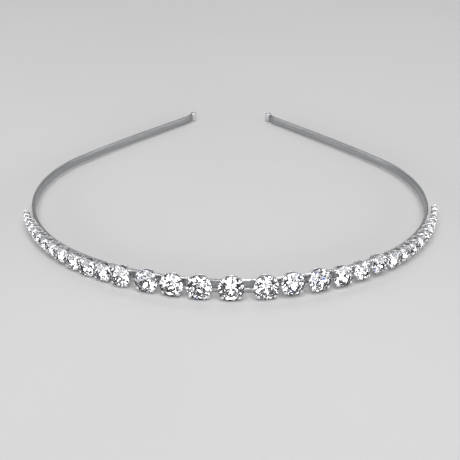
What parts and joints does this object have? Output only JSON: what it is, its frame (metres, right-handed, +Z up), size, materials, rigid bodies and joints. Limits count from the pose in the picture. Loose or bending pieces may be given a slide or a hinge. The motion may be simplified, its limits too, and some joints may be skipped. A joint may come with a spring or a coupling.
{
  "type": "rhinestone headband tiara",
  "caption": "Slim open metal headband tiara with one row of round cut clear stones in claw settings, graduated from the middle to both sides.",
  "frame": {"origin": "middle of the base of the whole part's box, on the surface it lies on", "axes": "+X along the width from one temple to the other, +Y from the stones at the front to the open ends at the back, +Z up from the surface"},
  "size_m": [0.1286, 0.1236, 0.007],
  "materials": {
    "plated_metal": "bright silver plate over steel strip and brass settings, with fine rubbing marks and small solder joints",
    "crystal": "clear cut glass with a mirror foil behind the pavilion"
  },
  "bodies": {
    "root": {"band": "plated_metal", "stone_center": "crystal", "stone_left_01": "crystal", "stone_left_02": "crystal", "stone_left_03": "crystal", "stone_left_04": "crystal", "stone_left_05": "crystal", "stone_left_06": "crystal", "stone_left_07": "crystal", "stone_left_08": "crystal", "stone_left_09": "crystal", "stone_left_10": "crystal", "stone_left_11": "crystal", "stone_left_12": "crystal", "stone_left_13": "crystal", "stone_left_14": "crystal", "stone_left_15": "crystal", "stone_left_16": "crystal", "stone_right_01": "crystal", "stone_right_02": "crystal", "stone_right_03": "crystal", "stone_right_04": "crystal", "stone_right_05": "crystal", "stone_right_06": "crystal", "stone_right_07": "crystal", "stone_right_08": "crystal", "stone_right_09": "crystal", "stone_right_10": "crystal", "stone_right_11": "crystal", "stone_right_12": "crystal", "stone_right_13": "crystal", "stone_right_14": "crystal", "stone_right_15": "crystal", "stone_right_16": "crystal"}
  },
  "joints": []
}
